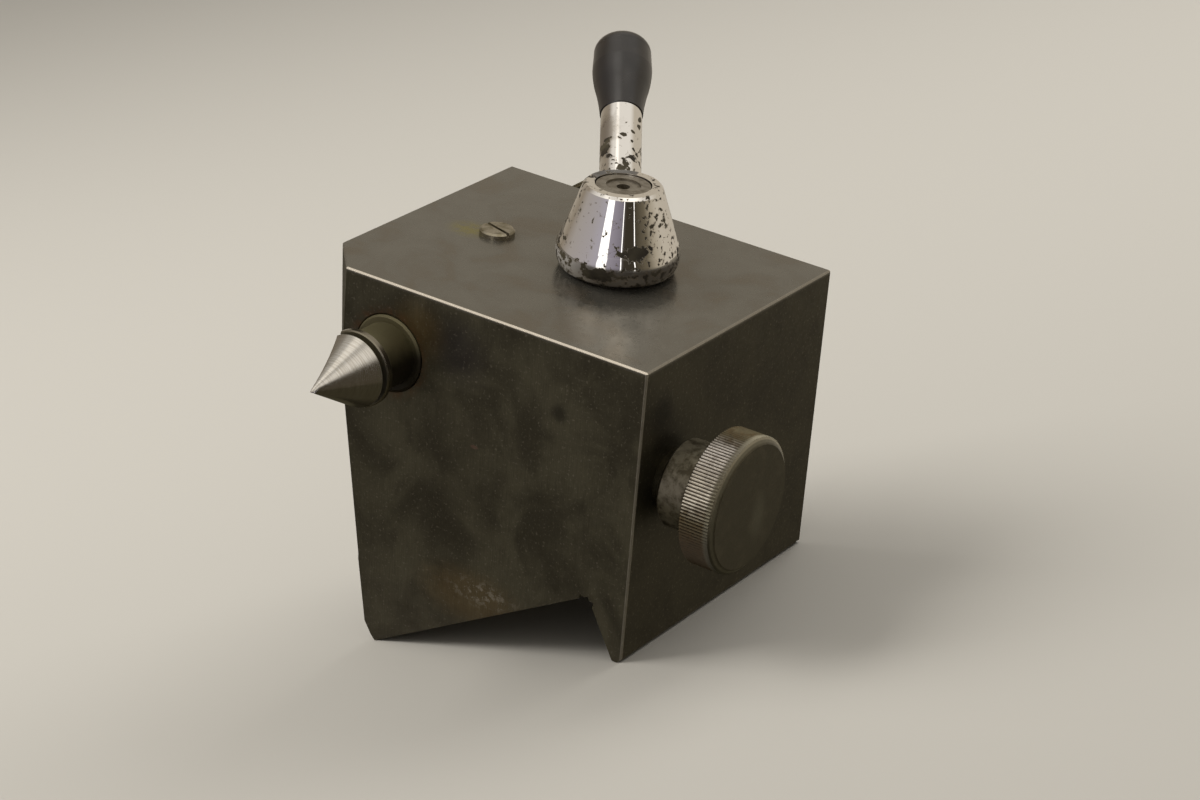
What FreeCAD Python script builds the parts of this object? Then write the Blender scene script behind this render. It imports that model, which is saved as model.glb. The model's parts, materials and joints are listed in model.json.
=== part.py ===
import FreeCAD, Part
import math
import os

# A bench tailstock for a tool grinder: a ground steel block that sits astride a
# ninety degree guide, a spring-loaded quill with a sixty degree centre, a knurled
# lock knob on its right side and a lifting clamp lever on top.
#
# Every piece is drawn in the block's own frame and then leaned over as the block
# comes to rest on a bench, on its foot and its leg. In the block's frame +X points
# right, +Y back, +Z up, and the origin is the front right corner of the top face.
# Lengths are millimetres, angles degrees.

UP = FreeCAD.Vector(0, 0, 1)
DOWN = FreeCAD.Vector(0, 0, -1)
FORWARD = FreeCAD.Vector(0, -1, 0)
BACK = FreeCAD.Vector(0, 1, 0)
RIGHT = FreeCAD.Vector(1, 0, 0)
LEFT = FreeCAD.Vector(-1, 0, 0)

# Fits, as radial clearances or as gaps between faces.
RUNNING_FIT = 0.05
SEATED_FIT = 0.02
CLEAR_FIT = 0.3
OVERCUT = 5.0

# The block.
BLOCK_WIDTH = 100.0
BLOCK_DEPTH = 85.0
LEG_HEIGHT = 78.6
FOOT_HEIGHT = 100.5
FOOT_X = -74.7
LEAN_X = -89.5
LEAN_DROP = 28.0
WAIST_X = -81.3
WAIST_DROP = 77.5
WAIST_STEP = 1.2
ANKLE_X = -78.2
ANKLE_DROP = 95.9
INSTEP_X = -76.2
INSTEP_DROP = 98.9
CORNER_CUT_DEPTH = 11.8
INCLINE_ANGLE = 30.0
LEG_TIP_WIDTH = 1.5
LEG_TIP_BREAK = 1.2
RELIEF_WIDTH = 4.3
RELIEF_SHORT = 0.8
EDGE_BREAK = 0.35

# The quill and what it holds.
QUILL_X = -75.25
QUILL_DROP = 18.8
QUILL_RADIUS = 10.0
QUILL_PROUD = 0.6
QUILL_REAR = 58.0
QUILL_STROKE = 11.0
QUILL_CHAMFER = 0.5
BORE_CHAMFER = 0.35
SOCKET_MOUTH_RADIUS = 6.03
SOCKET_TAPER = 0.025
SOCKET_LENGTH = 42.0
SHANK_LENGTH = 40.0
NOSE_RADIUS = 8.2
NOSE_LENGTH = 10.9
COLLAR_RADIUS = 9.95
COLLAR_LENGTH = 1.6
COLLAR_EDGE = 0.3
NECK_LENGTH = 1.6
CONE_RADIUS = 9.45
CONE_ANGLE = 60.0
CONE_LIP = 0.35
TIP_LEFT = 0.15
GROUND_AT_CONE = 5.0
GROUND_AT_NOSE = 7.1
GROUND_HOLLOW_RADIUS = 50.0

# The draw rod, its knob and the spring behind the quill.
ROD_RADIUS = 4.0
ROD_GRIP = 15.0
SPRING_WIRE = 1.6
SPRING_RADIUS = 7.4
SPRING_TURNS = 5
REAR_COLLAR_GAP = 0.5
REAR_COLLAR_LENGTH = 5.0
REAR_COLLAR_RADIUS = 9.0
REAR_HEAD_RADIUS = 18.0
REAR_HEAD_LENGTH = 9.0

# The rear cover.
COVER_HALF = 13.5
COVER_THICKNESS = 4.0
COVER_CORNER = 1.5
SPIGOT_LENGTH = 5.0
COVER_SCREW_HALF_PITCH = 9.5
COVER_SCREW_RADIUS = 2.0
COVER_SCREW_LENGTH = 12.0
COVER_HEAD_RADIUS = 3.5
COVER_HEAD_HEIGHT = 2.4
COVER_SLOT_WIDTH = 1.0
COVER_SLOT_DEPTH = 1.1

# The guide screw that keeps the quill from turning and stops its stroke.
GUIDE_Y = 44.0
GUIDE_RADIUS = 3.0
GUIDE_DOG_RADIUS = 2.0
GUIDE_DOG_LENGTH = 3.0
GUIDE_HEAD_RADIUS = 4.6
GUIDE_HEAD_HEIGHT = 1.5
GUIDE_HEAD_CHAMFER = 0.45
GUIDE_SLOT_WIDTH = 0.9
GUIDE_SLOT_DEPTH = 0.9
GUIDE_SLOT_ANGLE = -16.3
KEYWAY_DEPTH = 2.5

# The quill lock: a knurled knob draws a scalloped nut against the quill.
LOCK_Y = 15.0
LOCK_DROP = 32.9
LOCK_BORE_RADIUS = 8.0
LOCK_PROUD = 2.9
LOCK_SPLIT = 2.3
LOCK_NUT_LENGTH = 6.5
LOCK_NUT_TRAVEL = 1.0
LOCK_STUD_RADIUS = 3.0
LOCK_COLLAR_RADIUS = 11.3
LOCK_COLLAR_LENGTH = 10.4
LOCK_HEAD_RADIUS = 17.5
LOCK_HEAD_LENGTH = 9.6
LOCK_BORE_DEPTH = 17.0

# What the two knurled knobs share.
COLLAR_CHAMFER = 0.8
KNURL_PITCH = 0.85
KNURL_DEPTH = 0.4
RIM_STEP = 0.2
RIM_WIDTH = 1.5
RIM_LENGTH = 1.1
BACK_RIM = 0.5
GRUB_RADIUS = 2.0
GRUB_SLOT_WIDTH = 0.7
GRUB_SLOT_DEPTH = 0.8

# The clamp screw and the parts that turn with it.
CLAMP_X = -40.7
CLAMP_Y = 47.4
CLAMP_RADIUS = 5.0
CLAMP_CLEARANCE = 0.5
CLAMP_END_DROP = 77.0
COUNTERBORE_RADIUS = 8.5
COUNTERBORE_DROP = 62.0
INSERT_LIFT = 0.2
INSERT_RADIUS = 9.0
INSERT_TOP = 7.0
INSERT_FLANGE_RADIUS = 11.5
INSERT_FLANGE_TOP = 1.6
WASHER_RADIUS = 8.0
WASHER_THICKNESS = 1.5
WASHER_GAP = 0.2
RING_RADIUS = 6.8
RING_THICKNESS = 1.2
RING_GROOVE_RADIUS = 4.6
RING_GAP_WIDTH = 5.0

# The lever: a plated conical hub, a plated arm and a moulded grip. Places along
# the arm are measured from where its axis meets the hub's.
HUB_FOOT = 1.0
HUB_FOOT_RADIUS = 14.6
HUB_BELLY = 4.9
HUB_RADIUS = 15.7
HUB_BELLY_TOP = 8.6
HUB_CONE_RADIUS = 14.75
HUB_TOP = 22.7
HUB_TOP_RADIUS = 10.1
HUB_RIM_BREAK = 0.7
HUB_SHOULDER_THICKNESS = 1.8
HUB_LIFT = 3.0
LID_RADIUS = 6.9
LID_THICKNESS = 2.9
LID_RECESS_RADIUS = 4.4
LID_RECESS_DEPTH = 0.5
LID_HOLE_RADIUS = 1.7
LID_HOLE_DEPTH = 1.2
LID_SUNK = 0.3
LID_SHANK_RADIUS = 3.0
LID_SHANK_REACH = 12.0
LIFT_WIRE = 1.2
LIFT_SPRING_RADIUS = 5.9
LIFT_SPRING_TURNS = 4
ARM_RADIUS = 5.35
ARM_HEIGHT = 8.0
ARM_ELEVATION = 28.0
ARM_BEARING = 35.3
ARM_SEAT = 13.2
ARM_SPIGOT_RADIUS = 3.5
ARM_SPIGOT_START = 10.3
ARM_END = 58.0
GRIP_START = 41.0
GRIP_MOUTH_RADIUS = 5.6
GRIP_WAIST = 45.3
GRIP_WAIST_RADIUS = 6.1
GRIP_SWELL = 49.3
GRIP_SWELL_RADIUS = 6.9
GRIP_FLANK = 52.8
GRIP_FLANK_RADIUS = 7.55
GRIP_BELLY = 56.0
GRIP_RADIUS = 7.8
GRIP_SHOULDER = 61.6
GRIP_SHOULDER_RADIUS = 7.5
GRIP_END = 66.4
GRIP_CROWN_RADIUS = 3.9
GRIP_CROWN_RISE = 0.7

# Worked out from the driving dimensions.
BORE_RADIUS = QUILL_RADIUS + RUNNING_FIT
QUILL_FRONT = -QUILL_PROUD
CONE_START = NOSE_LENGTH + COLLAR_LENGTH + NECK_LENGTH
COVER_BACK = BLOCK_DEPTH + COVER_THICKNESS
SPIGOT_FRONT = BLOCK_DEPTH - SPIGOT_LENGTH
REAR_COLLAR_FRONT = COVER_BACK + REAR_COLLAR_GAP
REAR_HEAD_FRONT = REAR_COLLAR_FRONT + REAR_COLLAR_LENGTH
LOCK_COLLAR_START = LOCK_PROUD + RUNNING_FIT
LOCK_HEAD_START = LOCK_COLLAR_START + LOCK_COLLAR_LENGTH
LOCK_NUT_RIGHT = QUILL_X - LOCK_SPLIT / 2
LOCK_NUT_LEFT = LOCK_NUT_RIGHT - LOCK_NUT_LENGTH
LOCK_BORE_END = LOCK_NUT_LEFT - LOCK_NUT_TRAVEL - CLEAR_FIT
SCALLOP_RADIUS = QUILL_RADIUS + CLEAR_FIT
HUB_BORE_TOP = INSERT_TOP + INSERT_LIFT
HUB_SHOULDER_TOP = HUB_BORE_TOP + HUB_SHOULDER_THICKNESS
LID_TOP = HUB_TOP - LID_SUNK
LID_BOTTOM = LID_TOP - LID_THICKNESS
LIFT_ROOM_TOP = LID_BOTTOM - HUB_LIFT - CLEAR_FIT
LIFT_ROOM_RADIUS = LIFT_SPRING_RADIUS + LIFT_WIRE / 2 + CLEAR_FIT
LEAN_ANGLE = math.degrees(math.atan2(FOOT_HEIGHT - LEG_HEIGHT, -FOOT_X - LEG_TIP_BREAK))


def point(x, y, z):
    return FreeCAD.Vector(x, y, z)


def closed_face(corners):
    """A flat face inside straight edges from corner to corner."""
    return Part.Face(Part.makePolygon(corners + corners[:1]))


def turned(outline, start, direction):
    """A turned solid. The outline is a closed list of (distance along the axis,
    radius) pairs, or of ready-made edges in that plane, drawn along +Z."""
    if isinstance(outline[0], tuple):
        face = closed_face([point(radius, 0, along) for along, radius in outline])
    else:
        face = Part.Face(Part.Wire(outline))
    solid = face.revolve(point(0, 0, 0), UP, 360)
    return placed(solid, start, direction)


def placed(shape, start, direction):
    """Move a shape drawn along +Z so that its axis leaves start along direction."""
    shape = shape.copy()
    turn = FreeCAD.Placement(start, FreeCAD.Rotation(UP, direction))
    shape.Placement = turn.multiply(shape.Placement)
    return shape


def rod(radius, length, start, direction):
    return Part.makeCylinder(radius, length, start, direction)


def slot_tool(width, depth, reach, head, top, turn=0.0):
    """A bar that cuts a screwdriver slot into a head whose top lies at top."""
    bar = Part.makeBox(2 * reach, width, depth + OVERCUT, point(-reach, -width / 2, -depth))
    bar.rotate(point(0, 0, 0), UP, turn)
    return placed(bar, top, head)


def on_incline(x):
    """Height of the inclined guide face above or below the top face at x."""
    return -FOOT_HEIGHT + (x - FOOT_X) * math.tan(math.radians(INCLINE_ANGLE))


def leg_flank(z):
    """Place across the block of the leg's inner flank at height z."""
    slope = math.tan(math.radians(INCLINE_ANGLE))
    return -LEG_TIP_WIDTH - LEG_TIP_BREAK - (z + LEG_HEIGHT) * slope


def vee_corner():
    """Where the inclined face and the leg's flank would meet."""
    slope = math.tan(math.radians(INCLINE_ANGLE))
    flank_foot = -LEG_TIP_WIDTH - LEG_TIP_BREAK - LEG_HEIGHT * slope
    x = (flank_foot + slope * (FOOT_HEIGHT + FOOT_X * slope)) / (1 + slope * slope)
    return point(x, 0, on_incline(x))


def make_blank():
    """The bare block: its leaning left side, its foot, its guide and its leg."""
    corner = vee_corner()
    outline = [
        point(-BLOCK_WIDTH, 0, 0),
        point(LEAN_X, 0, -LEAN_DROP),
        point(WAIST_X, 0, -WAIST_DROP),
        point(WAIST_X, 0, -WAIST_DROP - WAIST_STEP),
        point(ANKLE_X, 0, -ANKLE_DROP),
        point(INSTEP_X, 0, -INSTEP_DROP),
        point(FOOT_X, 0, -FOOT_HEIGHT),
        corner,
        point(leg_flank(-LEG_HEIGHT), 0, -LEG_HEIGHT),
        point(-LEG_TIP_BREAK, 0, -LEG_HEIGHT),
        point(0, 0, -LEG_HEIGHT + LEG_TIP_BREAK),
        point(0, 0, 0),
    ]
    blank = closed_face(outline).extrude(BACK * BLOCK_DEPTH)

    step = point(-BLOCK_WIDTH - LEAN_X, CORNER_CUT_DEPTH, 0)
    start = point(LEAN_X, 0, OVERCUT)
    far_end = start + step * 2
    facet = closed_face([start - step, far_end, point(far_end.x, -CORNER_CUT_DEPTH, OVERCUT)])
    blank = blank.cut(facet.extrude(DOWN * (FOOT_HEIGHT + 2 * OVERCUT)))

    relief = Part.makeBox(RELIEF_WIDTH, BLOCK_DEPTH + 2 * OVERCUT, RELIEF_WIDTH,
                          point(-RELIEF_WIDTH / 2, -OVERCUT, -RELIEF_WIDTH - RELIEF_SHORT))
    relief.rotate(point(0, 0, 0), BACK, 45 - INCLINE_ANGLE)
    relief.translate(corner)
    return blank.cut(relief)


def outer_edges(blank):
    """The long outer edges of the top face and of the right side."""
    found = []
    for edge in blank.Edges:
        box = edge.BoundBox
        on_top = box.ZMin > -EDGE_BREAK
        upright = box.XMin > -EDGE_BREAK and box.ZLength > LEG_HEIGHT / 2
        if on_top or upright:
            found.append(edge)
    return found


def make_body():
    """The block with its edges broken and its holes bored."""
    body = make_blank()
    body = body.makeChamfer(EDGE_BREAK, outer_edges(body))

    quill_mouth = point(QUILL_X, 0, -QUILL_DROP)
    body = body.cut(turned([
        (-OVERCUT, 0), (-OVERCUT, BORE_RADIUS + BORE_CHAMFER), (0, BORE_RADIUS + BORE_CHAMFER),
        (BORE_CHAMFER, BORE_RADIUS), (BLOCK_DEPTH + OVERCUT, BORE_RADIUS),
        (BLOCK_DEPTH + OVERCUT, 0)], quill_mouth, BACK))

    body = body.cut(rod(LOCK_BORE_RADIUS + RUNNING_FIT, OVERCUT - LOCK_BORE_END,
                        point(OVERCUT, LOCK_Y, -LOCK_DROP), LEFT))
    body = body.cut(rod(CLAMP_RADIUS + CLAMP_CLEARANCE, FOOT_HEIGHT + OVERCUT,
                        point(CLAMP_X, CLAMP_Y, OVERCUT), DOWN))
    body = body.cut(rod(COUNTERBORE_RADIUS, FOOT_HEIGHT,
                        point(CLAMP_X, CLAMP_Y, -COUNTERBORE_DROP), DOWN))
    body = body.cut(rod(GUIDE_RADIUS + SEATED_FIT, QUILL_DROP + OVERCUT,
                        point(QUILL_X, GUIDE_Y, OVERCUT), DOWN))
    for spot in cover_screw_spots():
        hole = rod(COVER_SCREW_RADIUS + SEATED_FIT, COVER_SCREW_LENGTH + OVERCUT,
                   spot + BACK * OVERCUT, FORWARD)
        body = body.cut(hole)
    return body


def cover_screw_spots():
    """Where the cover screws enter the back of the block."""
    pitch = COVER_SCREW_HALF_PITCH
    return [point(QUILL_X + across, BLOCK_DEPTH, -QUILL_DROP + up)
            for across in (-pitch, pitch) for up in (-pitch, pitch)]


def make_quill():
    """A sleeve with a taper socket in front, a thread behind and a keyway on top."""
    length = QUILL_REAR + QUILL_PROUD
    socket_end_radius = SOCKET_MOUTH_RADIUS - SOCKET_TAPER * SOCKET_LENGTH
    thread_radius = ROD_RADIUS + SEATED_FIT
    quill = turned([
        (0, SOCKET_MOUTH_RADIUS + SEATED_FIT), (0, QUILL_RADIUS - QUILL_CHAMFER),
        (QUILL_CHAMFER, QUILL_RADIUS), (length - QUILL_CHAMFER, QUILL_RADIUS),
        (length, QUILL_RADIUS - QUILL_CHAMFER), (length, thread_radius),
        (SOCKET_LENGTH, thread_radius), (SOCKET_LENGTH, socket_end_radius + SEATED_FIT)],
        point(QUILL_X, QUILL_FRONT, -QUILL_DROP), BACK)

    half = GUIDE_DOG_RADIUS + RUNNING_FIT
    front = GUIDE_Y - QUILL_STROKE - CLEAR_FIT
    floor = -QUILL_DROP + QUILL_RADIUS - KEYWAY_DEPTH
    keyway = Part.makeBox(2 * half, GUIDE_Y - front, KEYWAY_DEPTH + OVERCUT,
                          point(QUILL_X - half, front, floor))
    for end in (front, GUIDE_Y):
        keyway = keyway.fuse(rod(half, KEYWAY_DEPTH + OVERCUT, point(QUILL_X, end, floor), UP))
    return quill.cut(keyway)


def ground_flat():
    """What has been ground off the left of the centre, so that a wheel can pass beside
    the point: hollow along the cone and straight along the nose."""
    cone_y = QUILL_FRONT - CONE_START
    tip_y = cone_y - CONE_RADIUS / math.tan(math.radians(CONE_ANGLE / 2))
    tip = point(QUILL_X - TIP_LEFT, tip_y, 0)
    cone = point(QUILL_X - GROUND_AT_CONE, cone_y, 0)
    nose = point(QUILL_X - GROUND_AT_NOSE, QUILL_FRONT, 0)
    past_tip = tip + (tip - cone) / 2
    outside = QUILL_X - 2 * QUILL_RADIUS

    chord = (cone - tip).Length
    along = (cone - tip) / chord
    inward = point(along.y, -along.x, 0)
    sag = GROUND_HOLLOW_RADIUS - math.sqrt(GROUND_HOLLOW_RADIUS ** 2 - (chord / 2) ** 2)
    hollow = Part.Arc(tip, (tip + cone) / 2 + inward * sag, cone).toShape()
    corners = [cone, nose, point(outside, nose.y, 0), point(outside, past_tip.y, 0),
               past_tip, tip]
    edges = [Part.makeLine(*pair) for pair in zip(corners, corners[1:])]
    waste = Part.Face(Part.Wire(edges + [hollow]))
    return waste.extrude(DOWN * (2 * QUILL_DROP))


def make_centre():
    """A sixty degree point on a nose with a collar and a taper shank, its left side
    ground away."""
    cone_length = CONE_RADIUS / math.tan(math.radians(CONE_ANGLE / 2))
    shank_end_radius = SOCKET_MOUTH_RADIUS - SOCKET_TAPER * SHANK_LENGTH
    collar_front = NOSE_LENGTH + COLLAR_LENGTH
    lip = CONE_START - CONE_LIP
    centre = turned([
        (-SHANK_LENGTH, 0), (-SHANK_LENGTH, shank_end_radius), (0, SOCKET_MOUTH_RADIUS),
        (0, NOSE_RADIUS), (NOSE_LENGTH, NOSE_RADIUS), (NOSE_LENGTH, COLLAR_RADIUS),
        (collar_front - COLLAR_EDGE, COLLAR_RADIUS), (collar_front, COLLAR_RADIUS - COLLAR_EDGE),
        (collar_front, NOSE_RADIUS), (lip, NOSE_RADIUS), (lip, CONE_RADIUS - CONE_LIP),
        (CONE_START, CONE_RADIUS), (CONE_START + cone_length, 0)],
        point(QUILL_X, QUILL_FRONT, -QUILL_DROP), FORWARD)
    return centre.cut(ground_flat())


def make_draw_rod():
    """The rod that ties the quill to its rear knob, screwed into the quill."""
    start = QUILL_REAR - ROD_GRIP
    end = REAR_HEAD_FRONT + REAR_HEAD_LENGTH / 2
    return turned([
        (0, 0), (0, ROD_RADIUS - QUILL_CHAMFER), (QUILL_CHAMFER, ROD_RADIUS),
        (end - start - QUILL_CHAMFER, ROD_RADIUS), (end - start, ROD_RADIUS - QUILL_CHAMFER),
        (end - start, 0)], point(QUILL_X, start, -QUILL_DROP), BACK)


def knurled_knob(start, direction, collar, head, bore):
    """A high knurled knob: a collar, a straight-knurled head and a blind bore, each
    a (radius, length) pair, with a screw hole through the collar's underside."""
    collar_radius, collar_length = collar
    head_radius, head_length = head
    bore_radius, bore_depth = bore
    ridges = round(2 * math.pi * head_radius / KNURL_PITCH)
    valley = head_radius - KNURL_DEPTH
    rim = head_radius - RIM_STEP
    front = collar_length + head_length
    knurl_start = collar_length + BACK_RIM
    knurl_end = front - RIM_LENGTH
    knob = turned([
        (0, bore_radius), (0, collar_radius - COLLAR_CHAMFER),
        (COLLAR_CHAMFER, collar_radius), (collar_length, collar_radius),
        (collar_length, valley - BACK_RIM), (knurl_start, valley), (knurl_end, valley),
        (knurl_end, rim), (front, rim - RIM_WIDTH), (front, 0),
        (bore_depth, 0), (bore_depth, bore_radius)], point(0, 0, 0), UP)

    star = []
    for tooth in range(ridges):
        for part, radius in ((0.0, head_radius), (0.5, valley)):
            turn = 2 * math.pi * (tooth + part) / ridges
            star.append(point(radius * math.cos(turn), radius * math.sin(turn), 0))
    band = closed_face(star).extrude(UP * (knurl_end - knurl_start))
    band.translate(UP * knurl_start)
    hollow = rod(valley - 2 * KNURL_DEPTH, front, UP * 0, UP)
    knob = placed(knob.fuse(band.cut(hollow)), start, direction)

    middle = start + direction * (collar_length / 2)
    return knob.cut(rod(GRUB_RADIUS + SEATED_FIT, collar_radius + OVERCUT, middle, DOWN))


def knob_screw(start, direction, collar, seat_radius):
    """The slotted headless screw that pins a knob to its rod, from below."""
    collar_radius, collar_length = collar
    seat = start + direction * (collar_length / 2) + DOWN * (seat_radius + SEATED_FIT)
    length = collar_radius - seat_radius - GRUB_SLOT_DEPTH
    grub = rod(GRUB_RADIUS, length, seat, DOWN)
    tip = seat + DOWN * length
    return grub.cut(slot_tool(GRUB_SLOT_WIDTH, GRUB_SLOT_DEPTH, 2 * GRUB_RADIUS, DOWN, tip))


REAR_KNOB_SEAT = point(QUILL_X, REAR_COLLAR_FRONT, -QUILL_DROP)
REAR_COLLAR = (REAR_COLLAR_RADIUS, REAR_COLLAR_LENGTH)
REAR_HEAD = (REAR_HEAD_RADIUS, REAR_HEAD_LENGTH)
REAR_BORE = (ROD_RADIUS + SEATED_FIT, REAR_COLLAR_LENGTH + REAR_HEAD_LENGTH / 2)


def make_rear_knob():
    return knurled_knob(REAR_KNOB_SEAT, BACK, REAR_COLLAR, REAR_HEAD, REAR_BORE)


def make_rear_knob_screw():
    return knob_screw(REAR_KNOB_SEAT, BACK, REAR_COLLAR, ROD_RADIUS)


def coil_spring(coil_radius, wire, turns, length, start, direction):
    """A round-wire compression spring between two flat seats."""
    height = length - wire
    helix = Part.makeHelix(height / turns, height, coil_radius)
    section = Part.Wire(Part.makeCircle(wire / 2, point(coil_radius, 0, 0), BACK))
    spring = Part.Wire(helix).makePipeShell([section], True, True)
    spring.translate(UP * (wire / 2))
    return placed(spring, start, direction)


def make_return_spring():
    free_room = SPIGOT_FRONT - QUILL_REAR - 2 * RUNNING_FIT
    return coil_spring(SPRING_RADIUS, SPRING_WIRE, SPRING_TURNS, free_room,
                       point(QUILL_X, QUILL_REAR + RUNNING_FIT, -QUILL_DROP), BACK)


def make_rear_cover():
    """A square plate with a spigot that closes the quill bore and guides the rod."""
    size = 2 * COVER_HALF
    plate = Part.makeBox(size, COVER_THICKNESS, size,
                         point(QUILL_X - COVER_HALF, BLOCK_DEPTH, -QUILL_DROP - COVER_HALF))
    corners = [edge for edge in plate.Edges if edge.BoundBox.YLength > COVER_THICKNESS / 2]
    plate = plate.makeFillet(COVER_CORNER, corners)
    plate = plate.fuse(rod(QUILL_RADIUS, SPIGOT_LENGTH,
                           point(QUILL_X, SPIGOT_FRONT, -QUILL_DROP), BACK))
    plate = plate.cut(rod(ROD_RADIUS + RUNNING_FIT, SPIGOT_LENGTH + COVER_THICKNESS + 2 * OVERCUT,
                          point(QUILL_X, SPIGOT_FRONT - OVERCUT, -QUILL_DROP), BACK))
    for spot in cover_screw_spots():
        plate = plate.cut(rod(COVER_SCREW_RADIUS + SEATED_FIT, 2 * COVER_THICKNESS, spot, BACK))
    return plate


def slotted_screw(head_radius, head_height, chamfer, shank, dog, slot, turn, seat, outward):
    """A cheese-head screw: shank and dog are (radius, length), slot (width, depth)."""
    shank_radius, shank_length = shank
    dog_radius, dog_length = dog
    outline = [(head_height, 0), (head_height, head_radius - chamfer),
               (head_height - chamfer, head_radius), (0, head_radius), (0, shank_radius),
               (-shank_length, shank_radius), (-shank_length, dog_radius),
               (-shank_length - dog_length, dog_radius), (-shank_length - dog_length, 0)]
    screw = turned(outline, seat, outward)
    top = seat + outward * head_height
    return screw.cut(slot_tool(slot[0], slot[1], head_radius + 1, outward, top, turn))


def make_cover_screws():
    screws = []
    for spot in cover_screw_spots():
        screws.append(slotted_screw(
            COVER_HEAD_RADIUS, COVER_HEAD_HEIGHT, GUIDE_HEAD_CHAMFER,
            (COVER_SCREW_RADIUS, COVER_THICKNESS + COVER_SCREW_LENGTH - 2 * GUIDE_HEAD_CHAMFER),
            (COVER_SCREW_RADIUS - GUIDE_HEAD_CHAMFER, GUIDE_HEAD_CHAMFER),
            (COVER_SLOT_WIDTH, COVER_SLOT_DEPTH), spot.x + spot.z,
            spot + BACK * COVER_THICKNESS, BACK))
    return Part.makeCompound(screws)


def make_guide_screw():
    shank = QUILL_DROP - QUILL_RADIUS - CLEAR_FIT
    dog = GUIDE_DOG_LENGTH - CLEAR_FIT
    return slotted_screw(GUIDE_HEAD_RADIUS, GUIDE_HEAD_HEIGHT, GUIDE_HEAD_CHAMFER,
                         (GUIDE_RADIUS, shank), (GUIDE_DOG_RADIUS, dog - CLEAR_FIT),
                         (GUIDE_SLOT_WIDTH, GUIDE_SLOT_DEPTH), GUIDE_SLOT_ANGLE,
                         point(QUILL_X, GUIDE_Y, 0), UP)


def scalloped(left, right, bore_radius):
    """A sleeve in the lock's cross bore, hollowed to clear the quill."""
    length = right - left
    sleeve = rod(LOCK_BORE_RADIUS, length, point(left, LOCK_Y, -LOCK_DROP), RIGHT)
    sleeve = sleeve.cut(rod(bore_radius, length + 2 * OVERCUT,
                            point(left - OVERCUT, LOCK_Y, -LOCK_DROP), RIGHT))
    return sleeve.cut(rod(SCALLOP_RADIUS, BLOCK_DEPTH, point(QUILL_X, 0, -QUILL_DROP), BACK))


def make_lock_sleeve():
    return scalloped(QUILL_X + LOCK_SPLIT / 2, LOCK_PROUD, LOCK_STUD_RADIUS + CLEAR_FIT)


def make_lock_nut():
    return scalloped(LOCK_NUT_LEFT, LOCK_NUT_RIGHT, LOCK_STUD_RADIUS + RUNNING_FIT)


def make_lock_stud():
    start = LOCK_NUT_LEFT - RUNNING_FIT
    length = LOCK_COLLAR_START + LOCK_BORE_DEPTH - CLEAR_FIT - start
    return turned([(0, 0), (0, LOCK_STUD_RADIUS - QUILL_CHAMFER), (QUILL_CHAMFER, LOCK_STUD_RADIUS),
                   (length, LOCK_STUD_RADIUS), (length, 0)],
                  point(start, LOCK_Y, -LOCK_DROP), RIGHT)


LOCK_KNOB_SEAT = point(LOCK_COLLAR_START, LOCK_Y, -LOCK_DROP)
LOCK_COLLAR = (LOCK_COLLAR_RADIUS, LOCK_COLLAR_LENGTH)
LOCK_HEAD = (LOCK_HEAD_RADIUS, LOCK_HEAD_LENGTH)
LOCK_KNOB_BORE = (LOCK_STUD_RADIUS + SEATED_FIT, LOCK_BORE_DEPTH)


def make_lock_knob():
    return knurled_knob(LOCK_KNOB_SEAT, RIGHT, LOCK_COLLAR, LOCK_HEAD, LOCK_KNOB_BORE)


def make_lock_knob_screw():
    return knob_screw(LOCK_KNOB_SEAT, RIGHT, LOCK_COLLAR, LOCK_STUD_RADIUS)


def at_clamp(height=0.0):
    return point(CLAMP_X, CLAMP_Y, height)


def make_clamp_screw():
    """A long stud, tapped in its top for the hub screw and grooved below for its
    retaining ring."""
    washer_face = COUNTERBORE_DROP + WASHER_GAP + WASHER_THICKNESS
    groove_top = CLAMP_END_DROP - washer_face - SEATED_FIT
    groove_bottom = groove_top - RING_THICKNESS - 2 * SEATED_FIT
    top = CLAMP_END_DROP + INSERT_TOP
    tapped = LID_SHANK_RADIUS + SEATED_FIT
    tapped_floor = top - LID_SHANK_REACH - 2 * RUNNING_FIT
    return turned([
        (0, 0), (0, CLAMP_RADIUS - QUILL_CHAMFER), (QUILL_CHAMFER, CLAMP_RADIUS),
        (groove_bottom, CLAMP_RADIUS), (groove_bottom, RING_GROOVE_RADIUS - SEATED_FIT),
        (groove_top, RING_GROOVE_RADIUS - SEATED_FIT), (groove_top, CLAMP_RADIUS),
        (top, CLAMP_RADIUS), (top, tapped), (tapped_floor, tapped), (tapped_floor, 0)],
        at_clamp(-CLAMP_END_DROP), UP)


def make_lever_insert():
    """The flanged steel insert that turns the clamp screw and carries the lever."""
    return turned([
        (INSERT_LIFT, CLAMP_RADIUS + SEATED_FIT), (INSERT_LIFT, INSERT_FLANGE_RADIUS),
        (INSERT_FLANGE_TOP, INSERT_FLANGE_RADIUS), (INSERT_FLANGE_TOP, INSERT_RADIUS),
        (INSERT_TOP, INSERT_RADIUS), (INSERT_TOP, CLAMP_RADIUS + SEATED_FIT)], at_clamp(), UP)


def make_hub_screw():
    """The recessed screw in the hub's top that holds the lever down by its spring."""
    bottom = INSERT_TOP - LID_SHANK_REACH
    recess = LID_TOP - LID_RECESS_DEPTH
    hole_floor = recess - LID_HOLE_DEPTH
    return turned([
        (bottom, 0), (bottom, LID_SHANK_RADIUS), (LID_BOTTOM, LID_SHANK_RADIUS),
        (LID_BOTTOM, LID_RADIUS), (LID_TOP, LID_RADIUS), (LID_TOP, LID_RECESS_RADIUS),
        (recess, LID_RECESS_RADIUS), (recess, LID_HOLE_RADIUS),
        (hole_floor, LID_HOLE_RADIUS), (hole_floor, 0)], at_clamp(), UP)


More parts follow.
